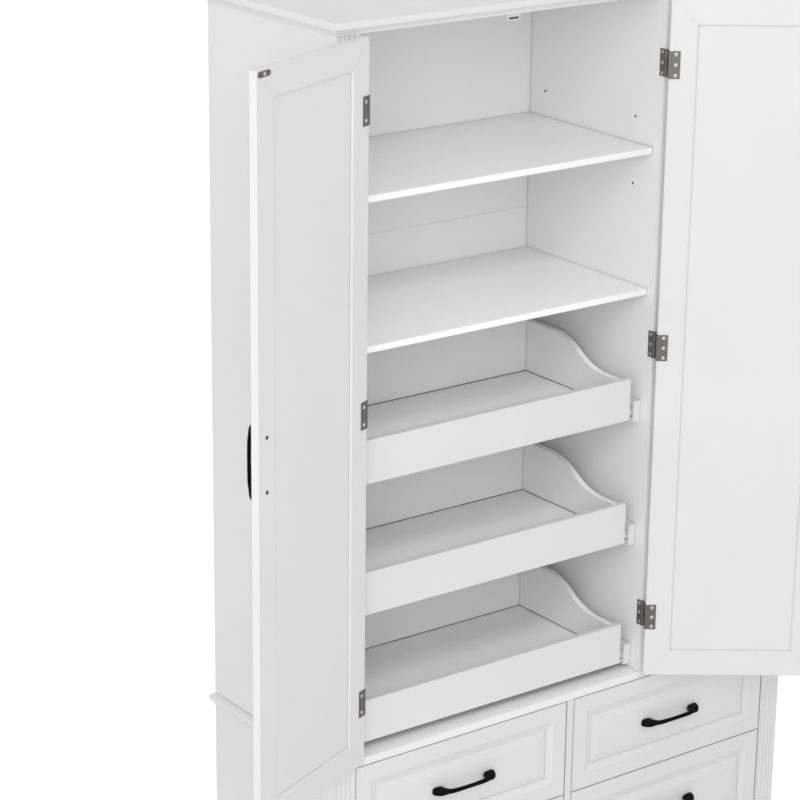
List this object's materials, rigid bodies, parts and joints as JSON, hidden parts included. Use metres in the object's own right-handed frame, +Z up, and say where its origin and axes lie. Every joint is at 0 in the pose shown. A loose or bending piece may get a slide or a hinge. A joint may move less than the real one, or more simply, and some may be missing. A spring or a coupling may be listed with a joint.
{
  "type": "tall kitchen cabinet",
  "caption": "Tall white kitchen cabinet with fluted corner posts, hinged panelled doors, pull-out trays, shelves and drawers.",
  "frame": {"origin": "on the floor in the middle of the carcass footprint, on the foot of the base bearer", "axes": "+X to the cabinet's right seen from the front, +Y to the back, +Z up"},
  "size_m": [1.402, 0.6157, 1.875],
  "materials": {
    "painted_board": "satin white paint",
    "black_metal": "satin black",
    "hinge_metal": "bronzed nickel",
    "runner_metal": "satin white powder coat",
    "peg_metal": "nickel plate",
    "catch_plastic": "matte",
    "magnet": "matte"
  },
  "bodies": {
    "carcass": {"adjustable_shelf": "painted_board", "back_panel_lower": "painted_board", "back_panel_upper": "painted_board", "base_bearer": "painted_board", "base_rail": "painted_board", "bottom_board": "painted_board", "cabinet_hinge_leaves": "hinge_metal", "cabinet_rails": "runner_metal", "catch_housing": "catch_plastic", "catch_magnet": "magnet", "crown_moulding": "painted_board", "deck_board": "painted_board", "door_right_frame": "painted_board", "door_right_hardware": "hinge_metal", "door_right_panel": "painted_board", "door_right_pull": "black_metal", "fixed_shelf": "painted_board", "lower_divider": "painted_board", "partition": "painted_board", "post_left": "painted_board", "post_right": "painted_board", "shelf_pegs": "peg_metal", "side_liner_left": "painted_board", "side_liner_right": "painted_board", "side_panel_left": "painted_board", "side_panel_right": "painted_board", "top_cap": "painted_board", "top_panel": "painted_board", "tray_spacers": "painted_board", "waist_mouldings": "painted_board"},
    "door_left": {"door_left_frame": "painted_board", "door_left_hardware": "hinge_metal", "door_left_panel": "painted_board", "door_left_pull": "black_metal"},
    "door_middle": {"door_middle_frame": "painted_board", "door_middle_hardware": "hinge_metal", "door_middle_panel": "painted_board", "door_middle_pull": "black_metal"},
    "drawer_lower_left": {"drawer_lower_left_box": "painted_board", "drawer_lower_left_front": "painted_board", "drawer_lower_left_pull": "black_metal"},
    "drawer_lower_right": {"drawer_lower_right_box": "painted_board", "drawer_lower_right_front": "painted_board", "drawer_lower_right_pull": "black_metal"},
    "drawer_upper_left": {"drawer_upper_left_box": "painted_board", "drawer_upper_left_front": "painted_board", "drawer_upper_left_pull": "black_metal"},
    "drawer_upper_right": {"drawer_upper_right_box": "painted_board", "drawer_upper_right_front": "painted_board", "drawer_upper_right_pull": "black_metal"},
    "tray_bottom": {"tray_bottom_box": "painted_board", "tray_bottom_front": "painted_board", "tray_bottom_rails": "runner_metal"},
    "tray_middle": {"tray_middle_box": "painted_board", "tray_middle_front": "painted_board", "tray_middle_rails": "runner_metal"},
    "tray_top": {"tray_top_box": "painted_board", "tray_top_front": "painted_board", "tray_top_rails": "runner_metal"}
  },
  "joints": [
    {"name": "door_left_hinge", "type": "hinge", "parent": "carcass", "child": "door_left", "pos_m": [-0.513, -0.202, 0.512], "axis": [0, 0, -1], "range_deg": [-157.5, 12.5]},
    {"name": "door_middle_hinge", "type": "hinge", "parent": "carcass", "child": "door_middle", "pos_m": [0.173, -0.202, 0.512], "axis": [0, 0, 1], "range_deg": [-144, 6]},
    {"name": "tray_top_slide", "type": "slide", "parent": "carcass", "child": "tray_top", "axis": [0, -1, 0], "range_m": [0, 0.23]},
    {"name": "tray_middle_slide", "type": "slide", "parent": "carcass", "child": "tray_middle", "axis": [0, -1, 0], "range_m": [0, 0.23]},
    {"name": "tray_bottom_slide", "type": "slide", "parent": "carcass", "child": "tray_bottom", "axis": [0, -1, 0], "range_m": [0, 0.23]},
    {"name": "drawer_upper_left_slide", "type": "slide", "parent": "carcass", "child": "drawer_upper_left", "axis": [0, -1, 0], "range_m": [0, 0.26]},
    {"name": "drawer_upper_right_slide", "type": "slide", "parent": "carcass", "child": "drawer_upper_right", "axis": [0, -1, 0], "range_m": [0, 0.26]},
    {"name": "drawer_lower_left_slide", "type": "slide", "parent": "carcass", "child": "drawer_lower_left", "axis": [0, -1, 0], "range_m": [0, 0.26]},
    {"name": "drawer_lower_right_slide", "type": "slide", "parent": "carcass", "child": "drawer_lower_right", "axis": [0, -1, 0], "range_m": [0, 0.26]}
  ]
}
